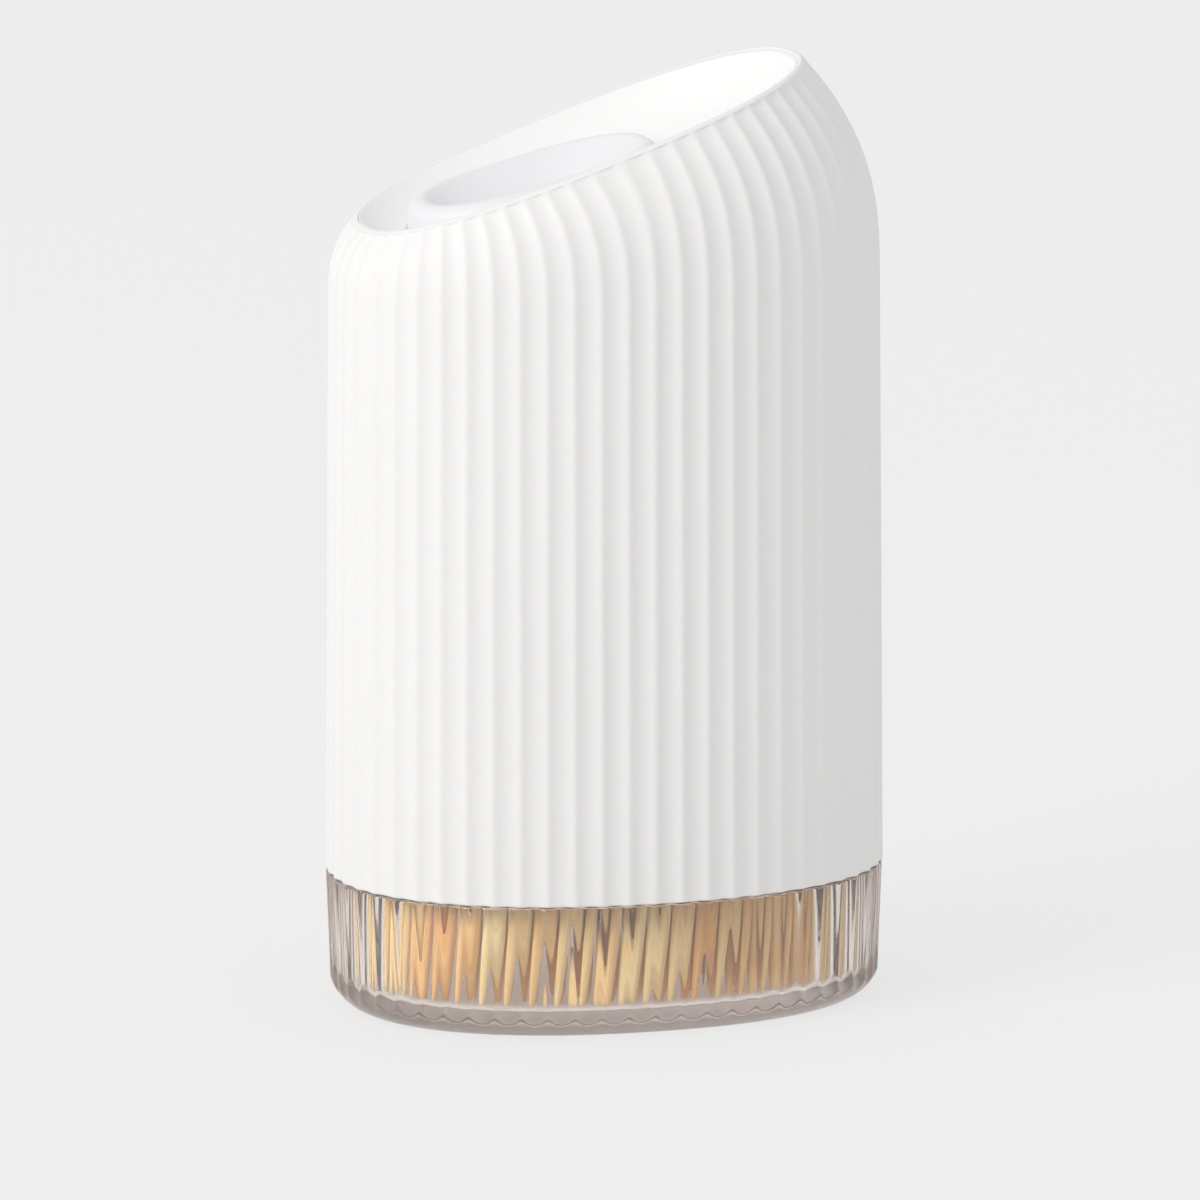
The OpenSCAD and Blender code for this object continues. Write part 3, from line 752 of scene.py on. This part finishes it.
# fine grain for the bump, and a slow drift of roughness and tone
def mouldedSurfaceGroup():
    group, given, out = newGroup("mouldedSurface", [
        ("Grain Size", "NodeSocketFloat", 4000.0),
        ("Grain Depth", "NodeSocketFloat", 0.05),
        ("Base Roughness", "NodeSocketFloat", 0.5),
        ("Roughness Drift", "NodeSocketFloat", 0.12),
        ("Light Color", "NodeSocketColor", (0.9, 0.9, 0.9, 1)),
        ("Deep Color", "NodeSocketColor", (0.8, 0.8, 0.8, 1)),
    ], [
        ("Color", "NodeSocketColor"),
        ("Roughness", "NodeSocketFloat"),
        ("Normal", "NodeSocketVector"),
    ])
    place = addNode(group, "ShaderNodeTexCoord")
    grain = addNode(group, "ShaderNodeTexNoise",
                    {"Detail": moulding["grainDetail"], "Roughness": moulding["grainRoughness"]},
                    {"Vector": place.outputs["Object"], "Scale": given.outputs["Grain Size"]})
    drift = addNode(group, "ShaderNodeTexNoise",
                    {"Scale": moulding["driftScale"], "Detail": moulding["driftDetail"]},
                    {"Vector": place.outputs["Object"]})
    # the Mix node's colours are its inputs 6 and 7 and its output 2
    tone = addNode(group, "ShaderNodeMix", {"data_type": "RGBA"}, {
        "Factor": drift.outputs["Fac"], 6: given.outputs["Light Color"],
        7: given.outputs["Deep Color"]})
    spread = addNode(group, "ShaderNodeMath", {"operation": "MULTIPLY_ADD"}, {
        0: drift.outputs["Fac"], 1: given.outputs["Roughness Drift"],
        2: given.outputs["Base Roughness"]})
    bump = addNode(group, "ShaderNodeBump", {"Distance": moulding["grainHeight"]},
                   {"Height": grain.outputs["Fac"], "Strength": given.outputs["Grain Depth"]})
    group.links.new(tone.outputs[2], out.inputs["Color"])
    group.links.new(spread.outputs[0], out.inputs["Roughness"])
    group.links.new(bump.outputs["Normal"], out.inputs["Normal"])
    return group


def plasticMaterial(name, group, facts):
    material, tree, shader = newMaterial(name)
    surface = addNode(tree, "ShaderNodeGroup")
    surface.node_tree = group
    setInputs(surface, facts["surface"])
    tree.links.new(surface.outputs["Color"], shader.inputs["Base Color"])
    tree.links.new(surface.outputs["Roughness"], shader.inputs["Roughness"])
    tree.links.new(surface.outputs["Normal"], shader.inputs["Normal"])
    setInputs(shader, facts["shader"])
    return material


plastics = {
    "shell": {
        "surface": {"Grain Size": 5200.0, "Grain Depth": 0.22, "Base Roughness": 0.5,
                    "Light Color": (0.90, 0.892, 0.885, 1), "Deep Color": (0.88, 0.872, 0.865, 1)},
        "shader": {"IOR": 1.46, "Subsurface Weight": 0.06, "Subsurface Scale": 0.0015},
    },
    # the dish and inner pieces take the shell's white plastic painted lighter, as painted light
    # that brightens the dish where it lies in shade
    "inside": {
        "surface": {"Grain Size": 4200.0, "Grain Depth": 0.1, "Base Roughness": 0.4,
                    "Light Color": (0.96, 0.95, 0.942, 1), "Deep Color": (0.945, 0.935, 0.927, 1)},
        "shader": {"IOR": 1.46, "Subsurface Weight": 0.05, "Subsurface Scale": 0.0015},
    },
    "button": {
        "surface": {"Grain Size": 4800.0, "Grain Depth": 0.12, "Base Roughness": 0.36,
                    "Light Color": (0.86, 0.856, 0.885, 1), "Deep Color": (0.845, 0.84, 0.87, 1)},
        "shader": {"IOR": 1.46},
    },
    "sleeve": {
        "surface": {"Grain Size": 3000.0, "Grain Depth": 0.3, "Base Roughness": 0.62,
                    "Light Color": (0.5, 0.51, 0.52, 1), "Deep Color": (0.42, 0.43, 0.44, 1)},
        "shader": {"IOR": 1.41},
    },
    "wire": {
        "surface": {"Grain Size": 9000.0, "Grain Depth": 0.15, "Base Roughness": 0.22,
                    "Light Color": (0.66, 0.66, 0.66, 1), "Deep Color": (0.5, 0.5, 0.51, 1)},
        "shader": {"Metallic": 1.0},
    },
}


# clear polished plastic: it keeps a little of its own colour, and its polish drifts slightly
clearFacts = {
    "surface": {"Grain Size": 700.0, "Grain Depth": 0.01, "Base Roughness": 0.005,
                "Roughness Drift": 0.03,
                "Light Color": (0.96, 0.90, 0.86, 1), "Deep Color": (0.94, 0.87, 0.83, 1)},
    "shader": {"IOR": 1.45, "Transmission Weight": 0.93},
    "depthColor": (0.66, 0.50, 0.44, 1),
    "depthDensity": 15.0,
    "shadowShare": 0.05,
    "softBottom": 0.2,
    "softFrom": 4.6 * mm,
    "softTo": 2.4 * mm,
}


# lamplight passes through it, but for the share that a shadow keeps, and its polish softens
# down the bottom edge
def clearMaterial(group):
    material = plasticMaterial("clearPlastic", group, clearFacts)
    tree = material.node_tree
    shader = tree.nodes["Principled BSDF"]
    place = addNode(tree, "ShaderNodeTexCoord")
    height = addNode(tree, "ShaderNodeSeparateXYZ", links={"Vector": place.outputs["Object"]})
    softness = addNode(tree, "ShaderNodeMapRange", {
        "interpolation_type": "SMOOTHSTEP", "From Min": clearFacts["softTo"],
        "From Max": clearFacts["softFrom"], "To Min": clearFacts["softBottom"], "To Max": 0.0},
        {"Value": height.outputs["Z"]})
    polish = shader.inputs["Roughness"].links[0].from_socket
    roughness = addNode(tree, "ShaderNodeMath", {"operation": "ADD"},
                        {0: polish, 1: softness.outputs["Result"]})
    tree.links.new(roughness.outputs[0], shader.inputs["Roughness"])
    path = addNode(tree, "ShaderNodeLightPath")
    alpha = scaled(tree, path.outputs["Is Shadow Ray"], clearFacts["shadowShare"] - 1, 1.0)
    tree.links.new(alpha, shader.inputs["Alpha"])
    depth = addNode(tree, "ShaderNodeVolumeAbsorption", {
        "Color": clearFacts["depthColor"], "Density": clearFacts["depthDensity"]})
    tree.links.new(depth.outputs["Volume"], tree.nodes["Material Output"].inputs["Volume"])
    return material


# bamboo: pale and dark fibres along each toothpick, whose tone differs at random from its
# neighbours' and lies darker on the inner and rear toothpicks as painted shade
woodFacts = {
    "pale": (1.0, 0.88, 0.47, 1),
    "dark": (0.84, 0.46, 0.12, 1),
    "paleUpTo": 0.5,
    "darkFrom": 1.0,
    "toneWeight": 0.6,
    "fibresAcross": 7.0,
    "fibresAlong": 0.12,
    "fibresApart": 50.0,
    "fibre": {"Scale": 1.0, "Detail": 4.0, "Roughness": 0.65},
    "bump": {"Strength": 0.4, "Distance": 0.05 * mm},
    "shader": {"Roughness": 0.62, "Subsurface Weight": 0.05, "Subsurface Scale": 0.0008},
}


def woodMaterial():
    material, tree, shader = newMaterial("toothpickWood")
    facts = {name: addNode(tree, "ShaderNodeAttribute", {"attribute_name": name}).outputs["Fac"]
             for name in ("tone", "along", "around")}
    place = addNode(tree, "ShaderNodeCombineXYZ", links={
        "X": scaled(tree, facts["around"], woodFacts["fibresAcross"]),
        "Y": scaled(tree, facts["along"], woodFacts["fibresAlong"]),
        "Z": scaled(tree, facts["tone"], woodFacts["fibresApart"])})
    fibre = addNode(tree, "ShaderNodeTexNoise", woodFacts["fibre"], {"Vector": place.outputs[0]})
    # the tone moves a toothpick towards the dark colour, and so carries the inner and rear
    # toothpicks' painted shade
    blend = addNode(tree, "ShaderNodeMath", {"operation": "MULTIPLY_ADD"},
                    {0: facts["tone"], 2: fibre.outputs["Fac"]})
    setInputs(blend, {1: woodFacts["toneWeight"]})
    ramp = addNode(tree, "ShaderNodeValToRGB", links={"Fac": blend.outputs[0]})
    pale, dark = ramp.color_ramp.elements
    pale.position, pale.color = woodFacts["paleUpTo"], woodFacts["pale"]
    dark.position, dark.color = woodFacts["darkFrom"], woodFacts["dark"]
    bump = addNode(tree, "ShaderNodeBump", woodFacts["bump"], {"Height": fibre.outputs["Fac"]})
    tree.links.new(ramp.outputs["Color"], shader.inputs["Base Color"])
    tree.links.new(bump.outputs["Normal"], shader.inputs["Normal"])
    setInputs(shader, woodFacts["shader"])
    return material


def dressNode(nodeName, material):
    for materialSlot in frame["nodes"][nodeName].material_slots:
        materialSlot.material = material


# Stage, lamps and camera

stage = {
    "size": 12.0,
    "shade": 0.86,
    "drop": 0.05 * mm,
    "roughness": 0.9,
    "seenShade": 0.885,
    "seenShare": 0.8,
    "roomLight": 0.668,
}


# 1 where a surface is seen by the camera, or in gloss, or through the clear cup
def seenMask(tree):
    path = addNode(tree, "ShaderNodeLightPath")
    glossOrCamera = addNode(tree, "ShaderNodeMath", {"operation": "MAXIMUM"}, {
        0: path.outputs["Is Camera Ray"], 1: path.outputs["Is Glossy Ray"]})
    seen = addNode(tree, "ShaderNodeMath", {"operation": "MAXIMUM"}, {
        0: glossOrCamera.outputs[0], 1: path.outputs["Is Transmission Ray"]})
    return seen.outputs[0]


# the floor is lit, and takes a share of its seen shade without the lamps, so that the
# object's shadow on it stays faint
def floorMaterial():
    material, tree, shader = newMaterial("paleFloor")
    seen = seenMask(tree)
    shade = scaled(tree, seen, -stage["seenShare"] * stage["shade"], stage["shade"])
    lit = addNode(tree, "ShaderNodeCombineColor",
                  links={"Red": shade, "Green": shade, "Blue": shade})
    tree.links.new(lit.outputs["Color"], shader.inputs["Base Color"])
    tree.links.new(scaled(tree, seen, stage["seenShare"]), shader.inputs["Emission Strength"])
    setInputs(shader, {"Emission Color": (stage["seenShade"],) * 3 + (1,),
                       "Roughness": stage["roughness"], "Specular IOR Level": 0.0})
    return material


def makeStage():
    half = stage["size"] / 2
    corners = [(x, y, -stage["drop"])
               for x, y in ((-half, -half), (half, -half), (half, half), (-half, half))]
    mesh = bpy.data.meshes.new("floor")
    mesh.from_pydata(corners, [], [(0, 1, 2, 3)])
    mesh.materials.append(floorMaterial())
    floor = standObject("floor", mesh)


lamps = {
    "keyLamp": {"place": (-2.45, -0.95, 1.5), "size": 1.4, "power": 38.5,
                "tint": (1.0, 0.985, 0.97)},
    "fillLamp": {"place": (1.9, -1.4, 0.3), "size": 1.2, "power": 3.0,
                 "tint": (1.0, 0.99, 0.98)},
}


def addLamp(name, facts):
    light = bpy.data.lights.new(name, "AREA")
    light.shape = "DISK"
    light.size = facts["size"]
    light.energy = facts["power"]
    light.color = facts["tint"]
    lamp = standObject(name, light)
    lamp.location = facts["place"]
    aim = Vector(view["aim"]) - Vector(facts["place"])
    lamp.rotation_euler = aim.to_track_quat("-Z", "Y").to_euler()


# an even room, which is seen in the floor's shade
def makeRoom():
    world = bpy.data.worlds.new("softRoom")
    world.use_nodes = True
    tree = world.node_tree
    background = tree.nodes["Background"]
    background.inputs["Color"].default_value = (1.0, 1.0, 1.0, 1)
    strength = scaled(tree, seenMask(tree), stage["seenShade"] - stage["roomLight"],
                      stage["roomLight"])
    tree.links.new(strength, background.inputs["Strength"])
    bpy.context.scene.world = world


# the view that the photograph has: turn and height of the camera, its distance, and its frame
view = {
    "turn": math.radians(-14.48),
    "height": math.radians(10.55),
    "distance": 0.8,
    "aim": (0, 0, 0.045),
    "lens": 254.0,
    "film": 36.0,
    "shiftX": -0.0040,
    "shiftY": -0.0591,
}


def makeCamera():
    back = Vector((math.sin(view["turn"]) * math.cos(view["height"]),
                   -math.cos(view["turn"]) * math.cos(view["height"]), math.sin(view["height"])))
    data = bpy.data.cameras.new("camera")
    data.lens = view["lens"]
    data.sensor_width = view["film"]
    data.shift_x = view["shiftX"]
    data.shift_y = view["shiftY"]
    camera = standObject("camera", data)
    camera.location = Vector(view["aim"]) + view["distance"] * back
    camera.rotation_euler = (-back).to_track_quat("-Z", "Y").to_euler()
    bpy.context.scene.camera = camera


makeCamera()
makeStage()
makeRoom()
for lampName, facts in lamps.items():
    addLamp(lampName, facts)
print("camera, lamps and floor stand")

moulded = mouldedSurfaceGroup()
finishes = {name: plasticMaterial(name + "Plastic", moulded, facts)
            for name, facts in plastics.items()}
clear = clearMaterial(moulded)
wood = woodMaterial()
print("materials mixed:", len(finishes) + 2)

makeShell(finishes["shell"])
makeDish(finishes["inside"])
makeButton(finishes["button"])
makeCup(clear)
print("mouldings made")

makePicks(wood)
makeSpring(finishes["wire"])
for nodeName in ("guide_plate", "button_stem", "catcher_cone"):
    dressNode(nodeName, finishes["inside"])
dressNode("grip_sleeve", finishes["sleeve"])
print("toothpicks, spring and inner pieces in place")

bpy.context.scene.view_settings.view_transform = "Standard"
